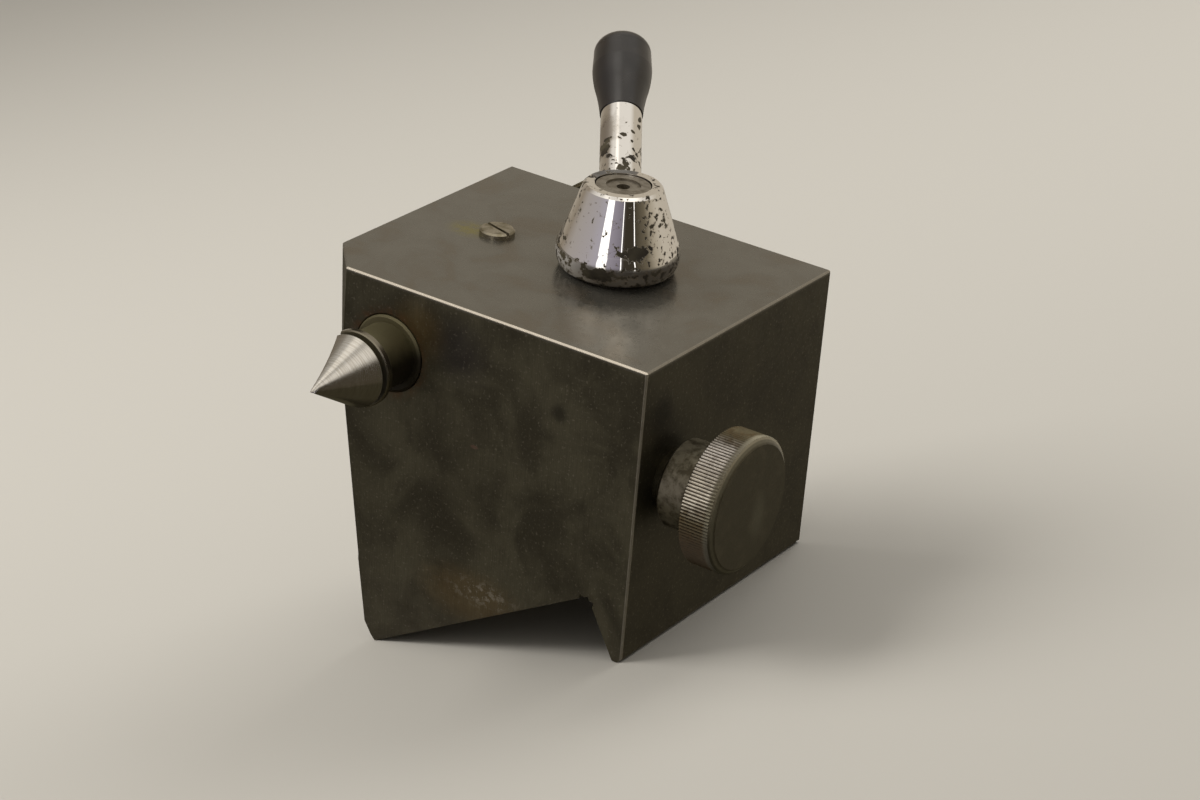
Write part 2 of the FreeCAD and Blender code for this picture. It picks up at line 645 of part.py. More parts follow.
def make_hub_spring():
    room = LID_BOTTOM - HUB_SHOULDER_TOP - 2 * RUNNING_FIT
    return coil_spring(LIFT_SPRING_RADIUS, LIFT_WIRE, LIFT_SPRING_TURNS, room,
                       at_clamp(HUB_SHOULDER_TOP + RUNNING_FIT), UP)


def make_retaining_washer():
    top = -COUNTERBORE_DROP - WASHER_GAP
    washer = rod(WASHER_RADIUS, WASHER_THICKNESS, at_clamp(top), DOWN)
    return washer.cut(rod(CLAMP_RADIUS + RUNNING_FIT, 2 * OVERCUT, at_clamp(top + OVERCUT), DOWN))


def make_retaining_ring():
    """An open spring ring in the clamp screw's groove."""
    top = -COUNTERBORE_DROP - WASHER_GAP - WASHER_THICKNESS - 2 * SEATED_FIT
    ring = rod(RING_RADIUS, RING_THICKNESS, at_clamp(top), DOWN)
    ring = ring.cut(rod(RING_GROOVE_RADIUS, 2 * OVERCUT, at_clamp(top + OVERCUT), DOWN))
    gap = Part.makeBox(2 * RING_RADIUS, RING_GAP_WIDTH, 2 * OVERCUT,
                       at_clamp(top - OVERCUT) + point(0, -RING_GAP_WIDTH / 2, 0))
    return ring.cut(gap)


def arm_direction():
    rise = math.radians(ARM_ELEVATION)
    bearing = math.radians(ARM_BEARING)
    return point(-math.sin(bearing) * math.cos(rise), math.cos(bearing) * math.cos(rise),
                 math.sin(rise))


def make_lever_hub():
    """The conical hub, hollow for its insert, its spring and its screw, and spot
    faced for the arm."""
    foot = point(HUB_FOOT_RADIUS, 0, HUB_FOOT)
    belly = point(HUB_RADIUS, 0, HUB_BELLY)
    cone = point(HUB_CONE_RADIUS, 0, HUB_BELLY_TOP)
    rim = point(HUB_TOP_RADIUS, 0, HUB_TOP - HUB_RIM_BREAK)
    rim_top = point(HUB_TOP_RADIUS - HUB_RIM_BREAK, 0, HUB_TOP)
    middle_top = point(0, 0, HUB_TOP)
    middle_foot = point(0, 0, HUB_FOOT)
    hub = turned([
        Part.makeLine(middle_foot, foot), Part.Arc(foot, belly, cone).toShape(),
        Part.makeLine(cone, rim), Part.makeLine(rim, rim_top),
        Part.makeLine(rim_top, middle_top), Part.makeLine(middle_top, middle_foot)],
        at_clamp(), UP)
    inside = turned([
        (0, 0), (0, INSERT_FLANGE_RADIUS + CLEAR_FIT),
        (INSERT_FLANGE_TOP + INSERT_LIFT, INSERT_FLANGE_RADIUS + CLEAR_FIT),
        (INSERT_FLANGE_TOP + INSERT_LIFT, INSERT_RADIUS + 2 * RUNNING_FIT),
        (HUB_BORE_TOP, INSERT_RADIUS + 2 * RUNNING_FIT),
        (HUB_BORE_TOP, LID_SHANK_RADIUS + 2 * RUNNING_FIT),
        (HUB_SHOULDER_TOP, LID_SHANK_RADIUS + 2 * RUNNING_FIT),
        (HUB_SHOULDER_TOP, LIFT_ROOM_RADIUS), (LIFT_ROOM_TOP, LIFT_ROOM_RADIUS),
        (LIFT_ROOM_TOP, LID_RADIUS + CLEAR_FIT), (HUB_TOP + OVERCUT, LID_RADIUS + CLEAR_FIT),
        (HUB_TOP + OVERCUT, 0)], at_clamp(), UP)
    arm_hole = turned([
        (ARM_SPIGOT_START - SEATED_FIT, 0),
        (ARM_SPIGOT_START - SEATED_FIT, ARM_SPIGOT_RADIUS + SEATED_FIT),
        (ARM_SEAT, ARM_SPIGOT_RADIUS + SEATED_FIT), (ARM_SEAT, ARM_RADIUS + RUNNING_FIT),
        (HUB_RADIUS + 2 * OVERCUT, ARM_RADIUS + RUNNING_FIT), (HUB_RADIUS + 2 * OVERCUT, 0)],
        at_clamp(ARM_HEIGHT), arm_direction())
    return hub.cut(inside).cut(arm_hole)


def make_lever_arm():
    """A round bar on a short spigot, carried on inside the grip."""
    return turned([
        (ARM_SPIGOT_START, 0), (ARM_SPIGOT_START, ARM_SPIGOT_RADIUS),
        (ARM_SEAT, ARM_SPIGOT_RADIUS), (ARM_SEAT, ARM_RADIUS),
        (ARM_END - QUILL_CHAMFER, ARM_RADIUS), (ARM_END, ARM_RADIUS - QUILL_CHAMFER),
        (ARM_END, 0)], at_clamp(ARM_HEIGHT), arm_direction())


def make_lever_grip():
    """A moulded taper grip: a slim mouth, a full belly and a crowned end."""
    mouth = point(GRIP_MOUTH_RADIUS, 0, GRIP_START)
    waist = point(GRIP_WAIST_RADIUS, 0, GRIP_WAIST)
    swell = point(GRIP_SWELL_RADIUS, 0, GRIP_SWELL)
    flank = point(GRIP_FLANK_RADIUS, 0, GRIP_FLANK)
    belly = point(GRIP_RADIUS, 0, GRIP_BELLY)
    shoulder = point(GRIP_SHOULDER_RADIUS, 0, GRIP_SHOULDER)
    crown = point(GRIP_CROWN_RADIUS, 0, GRIP_END - GRIP_CROWN_RISE)
    diagonal = math.sqrt(0.5)
    bend = point(crown.x + (shoulder.x - crown.x) * diagonal, 0,
                 shoulder.z + (crown.z - shoulder.z) * diagonal)
    end = point(0, 0, GRIP_END)
    dome_radius = (crown.x ** 2 + GRIP_CROWN_RISE ** 2) / (2 * GRIP_CROWN_RISE)
    half_dome = math.asin(crown.x / dome_radius) / 2
    dome_middle = point(dome_radius * math.sin(half_dome), 0,
                        GRIP_END - dome_radius * (1 - math.cos(half_dome)))
    bore = ARM_RADIUS + SEATED_FIT
    floor = ARM_END + CLEAR_FIT
    edges = [
        Part.Arc(mouth, waist, swell).toShape(),
        Part.Arc(swell, flank, belly).toShape(),
        Part.makeLine(belly, shoulder),
        Part.Arc(shoulder, bend, crown).toShape(),
        Part.Arc(crown, dome_middle, end).toShape(),
        Part.makeLine(end, point(0, 0, floor)),
        Part.makeLine(point(0, 0, floor), point(bore, 0, floor)),
        Part.makeLine(point(bore, 0, floor), point(bore, 0, GRIP_START)),
        Part.makeLine(point(bore, 0, GRIP_START), mouth),
    ]
    return turned(edges, at_clamp(ARM_HEIGHT), arm_direction())


NODES = {
    "body": make_body,
    "guide_screw": make_guide_screw,
    "rear_cover": make_rear_cover,
    "cover_screws": make_cover_screws,
    "return_spring": make_return_spring,
    "lock_sleeve": make_lock_sleeve,
    "quill": make_quill,
    "centre": make_centre,
    "draw_rod": make_draw_rod,
    "rear_knob": make_rear_knob,
    "rear_knob_screw": make_rear_knob_screw,
    "lock_knob": make_lock_knob,
    "lock_stud": make_lock_stud,
    "lock_knob_screw": make_lock_knob_screw,
    "lock_nut": make_lock_nut,
    "clamp_screw": make_clamp_screw,
    "lever_insert": make_lever_insert,
    "retaining_washer": make_retaining_washer,
    "retaining_ring": make_retaining_ring,
    "hub_screw": make_hub_screw,
    "hub_spring": make_hub_spring,
    "lever_hub": make_lever_hub,
    "lever_arm": make_lever_arm,
    "lever_grip": make_lever_grip,
}


def rest_on_bench(shapes):
    """Lean the block on to its foot and leg, with the bench at height zero and the
    origin under the middle of the whole tailstock."""
    for shape in shapes.values():
        shape.rotate(point(0, 0, 0), BACK, LEAN_ANGLE)
    box = Part.makeCompound(list(shapes.values())).optimalBoundingBox(False, False)
    for shape in shapes.values():
        shape.translate(point(-box.Center.x, -box.Center.y, -box.ZMin))
    return box


def main():
    os.makedirs("parts", exist_ok=True)
    shapes = {name: make() for name, make in NODES.items()}
    box = rest_on_bench(shapes)
    for name, shape in shapes.items():
        if not shape.isValid():
            print("not valid:", name)
        shape.exportStep(f"parts/{name}.step")
    print(f"lean {LEAN_ANGLE:.3f}, shift {-box.Center.x:.4f} {-box.Center.y:.4f} {-box.ZMin:.4f}")
    print(f"size {box.XLength:.2f} x {box.YLength:.2f} x {box.ZLength:.2f}")


main()
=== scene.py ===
# %% [markdown]
# # A grinder's tailstock, dressed
#
# The solids of the tailstock are already right, so this lesson adds what a camera sees: ground steel
# stained by years of oil, plating that has pitted, a knurl worn bright on its crests, and soft light.
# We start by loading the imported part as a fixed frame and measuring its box, because nothing that we
# add may make the part bigger.

import json
import math

import bpy
from mathutils import Matrix, Vector


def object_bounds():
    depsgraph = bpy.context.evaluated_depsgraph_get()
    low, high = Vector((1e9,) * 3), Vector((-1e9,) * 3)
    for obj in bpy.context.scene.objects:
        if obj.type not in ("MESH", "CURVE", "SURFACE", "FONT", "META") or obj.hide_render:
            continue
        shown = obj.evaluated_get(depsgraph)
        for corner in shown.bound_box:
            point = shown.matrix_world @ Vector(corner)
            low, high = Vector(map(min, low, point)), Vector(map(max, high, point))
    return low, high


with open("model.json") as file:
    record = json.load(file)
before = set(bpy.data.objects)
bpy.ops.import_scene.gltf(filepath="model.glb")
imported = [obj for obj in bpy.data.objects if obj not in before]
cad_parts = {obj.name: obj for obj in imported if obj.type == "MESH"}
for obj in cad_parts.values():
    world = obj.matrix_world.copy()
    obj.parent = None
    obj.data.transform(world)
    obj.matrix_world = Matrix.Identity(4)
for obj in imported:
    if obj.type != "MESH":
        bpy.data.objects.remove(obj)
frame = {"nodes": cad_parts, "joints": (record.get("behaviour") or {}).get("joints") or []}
cad_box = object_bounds()
nodes = frame["nodes"]
joints = {joint["name"]: joint for joint in frame["joints"]}
print("nodes:", len(nodes), "box:", [tuple(round(v, 4) for v in corner) for corner in cad_box])

# %% [markdown]
# The block leans as it rests on its foot and its leg, so "up" on the block isn't up in the world. Stains
# and wear belong to the block's faces, so we work out how the block lies. The lever's axis stands square
# to the top face, which gives the lean, and one known place on that axis gives the block's origin: the
# front right corner of its top face.

# %% How the block lies
MM = 0.001
CLAMP_ON_TOP = Vector((-40.7, 47.4, 0.0))

lever_axis = Vector(joints["clamp_turn"]["axis"])
LEAN = math.atan2(lever_axis.x, lever_axis.z)
block_turn = Matrix.Rotation(LEAN, 3, "Y")
block_origin = Vector(joints["clamp_turn"]["pos_m"]) / MM - block_turn @ CLAMP_ON_TOP
print("lean:", round(math.degrees(LEAN), 3), "origin:", [round(v, 2) for v in block_origin])

# %% [markdown]
# A material is a small graph. One function adds any node, sets what it is told to set, and links its
# inputs, so each material reads from top to bottom. Colours are written as the hex values that a painter
# would pick on a screen, and a second function turns them into the linear values that light is added in.
# Two settings come back so often that they get names: a smooth step of Map Range, and Mix on colours.

# %% Helpers for materials
SMOOTH = {"interpolation_type": "SMOOTHSTEP"}
RGBA = {"data_type": "RGBA"}


def add(tree, kind, *in_order, **by_name):
    """Add one node and give its first output. The values in order go to its live inputs.

    A name with a capital is an input too, and any other name is a setting. A value may be a link.
    """
    made = tree.nodes.new("ShaderNode" + kind)
    for name, value in by_name.items():
        if not name[0].isupper():
            setattr(made, name, value)
    live = [socket for socket in made.inputs if socket.enabled]
    given = list(zip(live, in_order))
    given += [(made.inputs[name], value) for name, value in by_name.items() if name[0].isupper()]
    for socket, value in given:
        if isinstance(value, bpy.types.NodeSocket):
            tree.links.new(value, socket)
        else:
            socket.default_value = value
    return next((socket for socket in made.outputs if socket.enabled), None)


def colour(hex_value):
    """An sRGB hex colour such as 6f6759 as linear red, green, blue and alpha."""
    linear = []
    for start in (0, 2, 4):
        part = int(hex_value[start:start + 2], 16) / 255
        linear.append(part / 12.92 if part <= 0.04045 else ((part + 0.055) / 1.055) ** 2.4)
    return (*linear, 1.0)


def new_material(name):
    """An empty material, its graph, and the block's coordinates in millimetres."""
    material = bpy.data.materials.new(name)
    material.use_nodes = True
    tree = material.node_tree
    tree.nodes.clear()
    on_object = add(tree, "TexCoord").node.outputs["Object"]
    where = add(tree, "Mapping", on_object, Location=-(block_turn.inverted() @ block_origin),
                Rotation=(0, -LEAN, 0), Scale=(1 / MM, 1 / MM, 1 / MM))
    return material, tree, where


def set_surface(tree, tint, roughness, metallic, normal, specular=0.5):
    """End a material's graph with its surface shader."""
    shader = add(tree, "BsdfPrincipled", tint, Metallic=metallic, Roughness=roughness, Normal=normal)
    shader.node.inputs["Specular IOR Level"].default_value = specular
    add(tree, "OutputMaterial", Surface=shader)


def distance_to(tree, where, place, squash=(1, 1, 1)):
    """Distance in millimetres from a place on the block, each axis taken times squash."""
    moved = add(tree, "VectorMath", where, place, operation="SUBTRACT")
    scaled = add(tree, "VectorMath", moved, squash, operation="MULTIPLY")
    return add(tree, "VectorMath", scaled, operation="LENGTH")


print("helpers ready")

# %% [markdown]
# ## Ground steel under old oil
#
# The block was ground on every face, so it keeps a fine straight grain and a soft shine. Years of oil and
# hands have turned it brown: nearly black on the right side, dark olive on the front, and a thin grey
# brown on the top, which is wiped. These face tints are also painted light and shade: the top is painted
# lighter and the front and right side darker, as light falls on them. We could paint each face by hand,
# but the solid has no picture to paint on, so we tell the faces apart by where they lie on the block.

# %% The block's faces, its noises and its colours
GRIND_MM = 0.25
STAIN_MM = 16.0
MOTTLE_MM = 2.2
SPECK_MM = 0.8

# Face tints, partly oil stain and partly painted light and shade: the top lighter, the front and right
# side darker.
TOP_BROWN_OIL_AND_LIGHT = colour("757167")
TOP_SHADE = colour("6b665c")
FRONT_OLIVE_OIL_AND_SHADE = colour("625d4a")
FRONT_DARK = colour("3c372a")
SIDE_BLACK_OIL_AND_SHADE = colour("4b4636")
KNOB_PAINTED_SHADOW = colour("241f15")
OIL_YELLOW = colour("7a6135")
STAIN_OLIVE = colour("837a3c")
RUST_BROWN = colour("6b4322")
HEAT_VIOLET = colour("2a2430")
SCUFF_PALE = colour("a39a88")
RUBBED_STEEL = colour("e6dccb")

ground_steel, tree, where = new_material("ground_steel_oil_stained")
across, along, height = add(tree, "SeparateXYZ", where).node.outputs
on_top = add(tree, "MapRange", height, -1.2, -0.4, **SMOOTH)
on_front = add(tree, "MapRange", along, 0.9, 0.5, **SMOOTH)

stain = add(tree, "TexNoise", where, Scale=1 / STAIN_MM, Detail=5.0, Roughness=0.55, Distortion=0.6)
mottle = add(tree, "TexNoise", where, Scale=1 / MOTTLE_MM, Detail=6.0, Roughness=0.7)
fine_speck = add(tree, "TexNoise", where, Scale=1 / SPECK_MM, Detail=3.0, Roughness=0.6)
down_the_front = add(tree, "Mapping", where, Scale=(1.0, 1.0, 0.03))
grain_front = add(tree, "TexNoise", down_the_front, Scale=1 / GRIND_MM, Detail=2.0, Roughness=0.55)
across_the_top = add(tree, "Mapping", where, Scale=(0.03, 1.0, 1.0))
grain_top = add(tree, "TexNoise", across_the_top, Scale=1 / GRIND_MM, Detail=2.0, Roughness=0.55)
print("noises of", GRIND_MM, SPECK_MM, MOTTLE_MM, "and", STAIN_MM, "mm")

# %% [markdown]
# Oil doesn't dry evenly. A stain is a soft round patch whose edge is made ragged by the mottling, so we
# write each one as a place on the block, how far it reaches and how strong it is. Above the quill the
# steel has a violet tint, beside it a yellow one, and near the relief slot a scuff has gone pale.

# %% The front: stains, a scuff, dust, painted shade and the grain
# Colour, place, reach, strength, raggedness, and how the stain is squashed along each axis.
FRONT_STAINS = [
    (HEAT_VIOLET, (-54.0, 0.0, -12.0), 12.0, 0.45, 4.0, (1, 1, 1)),
    (OIL_YELLOW, (-67.0, 0.0, -10.5), 11.0, 0.45, 4.0, (1, 1, 1)),
    (FRONT_DARK, (-60.0, 0.0, -57.0), 14.0, 0.5, 5.0, (1, 1, 1)),
    (OIL_YELLOW, (-46.0, 0.0, -77.0), 14.0, 0.4, 8.0, (0.7, 1, 1.4)),
]
SCUFF_PLACE, SCUFF_SQUASH, SCUFF_MM = (-42.0, 0.0, -75.0), (0.7, 1, 2.0), 2.6


def stained_patch(under, patch_colour, place, reach, strength, raggedness, squash=(1, 1, 1)):
    """Lay a soft-edged stain over a colour, round a place on the block and as wide as its reach."""
    far = distance_to(tree, where, place, squash)
    inwards = add(tree, "Math", mottle, -raggedness, operation="MULTIPLY")
    ragged_far = add(tree, "Math", far, inwards, operation="ADD")
    cover = add(tree, "MapRange", ragged_far, reach - raggedness / 2, 0.0, 0.0, strength, **SMOOTH)
    return add(tree, "Mix", cover, under, patch_colour, **RGBA)


shade = add(tree, "MapRange", stain, 0.34, 0.66, 0.0, 0.75, **SMOOTH)
front = add(tree, "Mix", shade, FRONT_OLIVE_OIL_AND_SHADE, FRONT_DARK, **RGBA)
for patch_colour, place, reach, strength, raggedness, squash in FRONT_STAINS:
    front = stained_patch(front, patch_colour, place, reach, strength, raggedness, squash)

scuff_far = distance_to(tree, where, SCUFF_PLACE, SCUFF_SQUASH)
scuff_near = add(tree, "MapRange", scuff_far, 10.0, 2.0, 0.0, 0.8, **SMOOTH)
scuff_noise = add(tree, "TexNoise", where, Scale=1 / SCUFF_MM, Detail=6.0, Roughness=0.75)
scuff_marks = add(tree, "MapRange", scuff_noise, 0.51, 0.57, **SMOOTH)
scuffed = add(tree, "Math", scuff_near, scuff_marks, operation="MULTIPLY")
front = add(tree, "Mix", scuffed, front, SCUFF_PALE, **RGBA)

low_dust = add(tree, "MapRange", height, -60.0, -98.0, 0.0, 0.1, **SMOOTH)
front = add(tree, "Mix", low_dust, front, SCUFF_PALE, **RGBA)
# Painted shade: the front darkens towards its left end.
painted_shade_left = add(tree, "MapRange", across, -66.0, -96.0, 0.0, 0.4, **SMOOTH)
front = add(tree, "Mix", painted_shade_left, front, FRONT_DARK, **RGBA)
lines = add(tree, "MapRange", grain_front, 0.38, 0.66, 0.0, 0.25, **SMOOTH)
front = add(tree, "Mix", lines, front, FRONT_DARK, **RGBA)
pale_speck = add(tree, "MapRange", fine_speck, 0.56, 0.72, 0.0, 0.3, **SMOOTH)
front = add(tree, "Mix", pale_speck, front, SCUFF_PALE, **RGBA)
print("stains on the front:", len(FRONT_STAINS))

# %% [markdown]
# The sides are nearly black, partly from oil and partly painted shade, and a painted shadow darkens the
# side just behind the lock knob. The top is wiped and painted lighter, so it is paler and more even, with
# a yellow olive stain beside the guide screw.

# %% The sides, then the top
GUIDE_X, GUIDE_Y = -75.25, 44.0
BEHIND_THE_KNOB = (0.0, 8.4, -13.7)

side_shade = add(tree, "MapRange", stain, 0.35, 0.75, **SMOOTH)
sides = add(tree, "Mix", side_shade, SIDE_BLACK_OIL_AND_SHADE, FRONT_DARK, **RGBA)
sides = add(tree, "Mix", pale_speck, sides, SCUFF_PALE, **RGBA)
# Painted shadow: the side is darkened just behind the lock knob.
sides = stained_patch(sides, KNOB_PAINTED_SHADOW, BEHIND_THE_KNOB, 7.0, 0.6, 3.0)
steel = add(tree, "Mix", on_front, sides, front, **RGBA)

top_shade = add(tree, "MapRange", stain, 0.35, 0.72, **SMOOTH)
top = add(tree, "Mix", top_shade, TOP_BROWN_OIL_AND_LIGHT, TOP_SHADE, **RGBA)
yellow = add(tree, "MapRange", stain, 0.5, 0.66, 0.0, 0.12, **SMOOTH)
top = add(tree, "Mix", yellow, top, OIL_YELLOW, **RGBA)
screw_far = distance_to(tree, where, (GUIDE_X - 6.5, GUIDE_Y - 2.5, 0.0), (0.8, 1, 1))
screw_near = add(tree, "MapRange", screw_far, 6.5, 1.0, 0.0, 0.75, **SMOOTH)
screw_mottle = add(tree, "MapRange", mottle, 0.3, 0.55, **SMOOTH)
screw_stain = add(tree, "Math", screw_near, screw_mottle, operation="MULTIPLY")
top = add(tree, "Mix", screw_stain, top, STAIN_OLIVE, **RGBA)
steel = add(tree, "Mix", on_top, steel, top, **RGBA)
print("guide screw at", GUIDE_X, GUIDE_Y)

# %% [markdown]
# Three small marks make the front this block's own: rust round the quill's mouth, a dark spot to the
# right of it, and a short pinkish scratch below.

# %% Rust at the quill's mouth, a dark spot and a scratch
QUILL_X, QUILL_Z = -75.25, -18.8
SPOT_PLACE, SPOT_DARK = (-23.7, 0.0, -18.4), colour("15120d")
SCRATCH_PLACE, SCRATCH_PINK = (-47.7, 0.0, -35.5), colour("8a6a5c")

mouth_far = distance_to(tree, where, (QUILL_X, 0.0, QUILL_Z), (1, 0, 1))
mouth_near = add(tree, "MapRange", mouth_far, 13.5, 10.4, **SMOOTH)
mouth_mottle = add(tree, "MapRange", mottle, 0.38, 0.6, 0.0, 0.35, **SMOOTH)
mouth_rust = add(tree, "Math", mouth_near, mouth_mottle, operation="MULTIPLY")
mouth_rust = add(tree, "Math", mouth_rust, on_front, operation="MULTIPLY")
steel = add(tree, "Mix", mouth_rust, steel, RUST_BROWN, **RGBA)
spot = add(tree, "MapRange", distance_to(tree, where, SPOT_PLACE), 3.4, 0.8, 0.0, 0.55, **SMOOTH)
steel = add(tree, "Mix", spot, steel, SPOT_DARK, **RGBA)
scratch_far = distance_to(tree, where, SCRATCH_PLACE, (1.0, 1.0, 2.2))
scratch = add(tree, "MapRange", scratch_far, 1.5, 0.6, 0.0, 0.5, **SMOOTH)
steel = add(tree, "Mix", scratch, steel, SCRATCH_PINK, **RGBA)
print("quill at", QUILL_X, QUILL_Z)

# %% [markdown]
# Where two faces meet, the corner is rubbed and its narrow bevel has gone back to bright steel. The
# front's upper edge is worn most, because work and hands pass over it. A place is on such an edge when it
# is near both faces, so we multiply the two.

# %% Worn edges
BEVEL_MM = 0.5
EDGE_SOFT_MM = 0.1
UPRIGHT_WEAR = 0.30
SIDE_WEAR = 0.22

near_top = add(tree, "MapRange", height, -BEVEL_MM - EDGE_SOFT_MM, -BEVEL_MM + EDGE_SOFT_MM, **SMOOTH)
near_front = add(tree, "MapRange", along, BEVEL_MM + EDGE_SOFT_MM, BEVEL_MM - EDGE_SOFT_MM, **SMOOTH)
near_right = add(tree, "MapRange", across, -BEVEL_MM - EDGE_SOFT_MM, -BEVEL_MM + EDGE_SOFT_MM, **SMOOTH)
rubbed = add(tree, "Math", near_top, near_front, operation="MULTIPLY")
for first, second, wear in ((near_right, near_front, UPRIGHT_WEAR), (near_top, near_right, SIDE_WEAR)):
    edge = add(tree, "Math", first, second, operation="MULTIPLY")
    edge = add(tree, "Math", edge, wear, operation="MULTIPLY")
    rubbed = add(tree, "Math", rubbed, edge, operation="MAXIMUM")
left_by_wear = add(tree, "MapRange", mottle, 0.25, 0.5, 0.8, 1.0, **SMOOTH)
rubbed = add(tree, "Math", rubbed, left_by_wear, operation="MULTIPLY")
steel = add(tree, "Mix", rubbed, steel, RUBBED_STEEL, **RGBA)
print("bevel:", BEVEL_MM, "mm")

# %% [markdown]
# The grain runs up the front and across the top. It is only some hundredths of a millimetre deep, so it
# is a bump and not a shape. The wiped top is smoother than the rest.

# %% Grain and shine of the ground steel
GRAIN_DEPTH = 0.00004
OILED_METAL = 0.75

grain = add(tree, "Mix", on_top, grain_front, grain_top)
fine_relief = add(tree, "Math", grain, 0.5, operation="MULTIPLY")
coarse_relief = add(tree, "Math", mottle, 0.35, operation="MULTIPLY")
relief = add(tree, "Math", fine_relief, coarse_relief, operation="ADD")
dull_sides = add(tree, "MapRange", mottle, 0.3, 0.7, 0.34, 0.5, **SMOOTH)
wiped_top = add(tree, "MapRange", mottle, 0.3, 0.7, 0.17, 0.3, **SMOOTH)
shine = add(tree, "Mix", on_top, dull_sides, wiped_top)
bump = add(tree, "Bump", Height=relief, Strength=0.25, Distance=GRAIN_DEPTH)
set_surface(tree, steel, shine, OILED_METAL, bump)
print("made", ground_steel.name)

# %% [markdown]
# ## Small turned pieces
#
# Screws, the sleeve of the quill lock, springs and the lever's insert are turned or drawn steel. They
# differ in tint and dullness and not in kind, so one function makes them all: two tints in blotches, and
# fine rings from turning as a bump.

# %% Turned steel
TURNING_MM = 0.22
TURNING_STRETCH = (0.04, 1.0, 0.04)
BLOTCH_MM = 3.0


def turned_steel(name, base, stain_tint, stained, roughness, metallic):
    """Turned steel, with blotches of another tint where the noise lies past the stained limits."""
    material, tree, where = new_material(name)
    blotch = add(tree, "TexNoise", where, Scale=1 / BLOTCH_MM, Detail=5.0, Roughness=0.65)
    tint = add(tree, "Mix", add(tree, "MapRange", blotch, *stained, **SMOOTH), base, stain_tint, **RGBA)
    stretched = add(tree, "Mapping", where, Scale=TURNING_STRETCH)
    rings = add(tree, "TexNoise", stretched, Scale=1 / TURNING_MM, Detail=2.0, Roughness=0.55)
    bump = add(tree, "Bump", Height=rings, Strength=0.2, Distance=0.00003)
    set_surface(tree, tint, add(tree, "MapRange", blotch, 0.3, 0.7, *roughness, **SMOOTH), metallic, bump)
    return material


browned_sleeve = turned_steel("hardened_steel_browned", colour("484231"), colour("2b2619"),
                              (0.35, 0.70), (0.30, 0.45), 0.8)
screw_steel = turned_steel("screw_steel_worn", colour("a49b88"), colour("72694f"),
                           (0.40, 0.70), (0.26, 0.38), 0.9)
spring_wire = turned_steel("spring_wire_oiled", colour("3b3833"), colour("241f19"),
                           (0.35, 0.65), (0.30, 0.45), 0.9)
zinc_insert = turned_steel("zinc_plated_steel_dulled", colour("958d7f"), colour("6f6657"),
                           (0.35, 0.65), (0.35, 0.50), 0.8)
print("made", browned_sleeve.name, screw_steel.name, spring_wire.name, zinc_insert.name)

# %% [markdown]
# ## The quill and its centre
#
# The quill and the centre's nose are tool steel, browned by oil, and their tint is painted lighter and
# yellowish on the upper side and darker below, as light falls on them. The cone and the collar are kept
# bright because
# they are used: fine rings from grinding run round them. So the painted light and shade follow the height
# on the nose, and the tint changes to bright steel by how far forward a place lies.

# %% A bright cone and collar before a browned nose
CONE_BACK = -14.7
COLLAR_FRONT, COLLAR_BACK = -13.1, -11.5
EDGE_MM = 0.12

bright_centre, tree, where = new_material("tool_steel_bright_where_ground")
across, along, height = add(tree, "SeparateXYZ", where).node.outputs
stretched = add(tree, "Mapping", where, Scale=TURNING_STRETCH)
rings = add(tree, "TexNoise", stretched, Scale=1 / TURNING_MM, Detail=2.0, Roughness=0.55)
blotch = add(tree, "TexNoise", where, Scale=1 / BLOTCH_MM, Detail=5.0, Roughness=0.65)

ring_shade = add(tree, "MapRange", rings, 0.35, 0.65, **SMOOTH)
cone_steel = add(tree, "Mix", ring_shade, colour("b8b4ad"), colour("aaa59c"), **RGBA)
uneven = add(tree, "Math", blotch, 3.0, operation="MULTIPLY")
uneven_height = add(tree, "Math", height, uneven, operation="ADD")
# Painted light and shade: the nose and quill are lighter on the upper side and darker below.
lit_upper_side = add(tree, "MapRange", uneven_height, QUILL_Z + 2.0, QUILL_Z + 8.0, **SMOOTH)
nose_brown_lit_and_shaded = add(tree, "Mix", lit_upper_side, colour("2a2519"), colour("6a6348"), **RGBA)

on_cone = add(tree, "MapRange", along, CONE_BACK + EDGE_MM, CONE_BACK - EDGE_MM, **SMOOTH)
before_back = add(tree, "MapRange", along, COLLAR_BACK + EDGE_MM, COLLAR_BACK - EDGE_MM, **SMOOTH)
behind_front = add(tree, "MapRange", along, COLLAR_FRONT - EDGE_MM, COLLAR_FRONT + EDGE_MM, **SMOOTH)
on_collar = add(tree, "Math", before_back, behind_front, operation="MULTIPLY")
tint = add(tree, "Mix", on_cone, nose_brown_lit_and_shaded, cone_steel, **RGBA)
tint = add(tree, "Mix", on_collar, tint, colour("8d8676"), **RGBA)
bright = add(tree, "Math", on_cone, on_collar, operation="MAXIMUM")
shine = add(tree, "MapRange", bright, 0.0, 1.0, 0.48, 0.21, **SMOOTH)
metal = add(tree, "MapRange", bright, 0.0, 1.0, 0.6, 1.0, **SMOOTH)
bump = add(tree, "Bump", Height=rings, Strength=0.08, Distance=0.00002)
set_surface(tree, tint, shine, metal, bump)
print("made", bright_centre.name)

# %% [markdown]
# ## The knurled knobs
#
# A knurl is pressed in, and fingers polish its crests while oil and rust stay in its grooves. So the
# colour follows the distance from the knob's own axis: bright on the crests, brown in the grooves. The
# crests are brightest at their upper front, partly from polish and partly a painted highlight where they
# face the light, and browner towards the top and the underside.

# %% The knurled rim
LOCK_Y, LOCK_Z = 15.0, -32.9
CREST_MM = 17.5
GROOVE_MM = 17.05
POLISH_AND_HIGHLIGHT_PLACE = (17.5, 3.0, -21.5)

knurled_steel, tree, where = new_material("knurled_steel_rusted_grooves")
across, along, height = add(tree, "SeparateXYZ", where).node.outputs
from_axis = distance_to(tree, where, (0.0, LOCK_Y, LOCK_Z), (0, 1, 1))
blotch = add(tree, "TexNoise", where, Scale=1 / 4.0, Detail=5.0, Roughness=0.65)
speck = add(tree, "TexNoise", where, Scale=1 / SPECK_MM, Detail=4.0, Roughness=0.7)
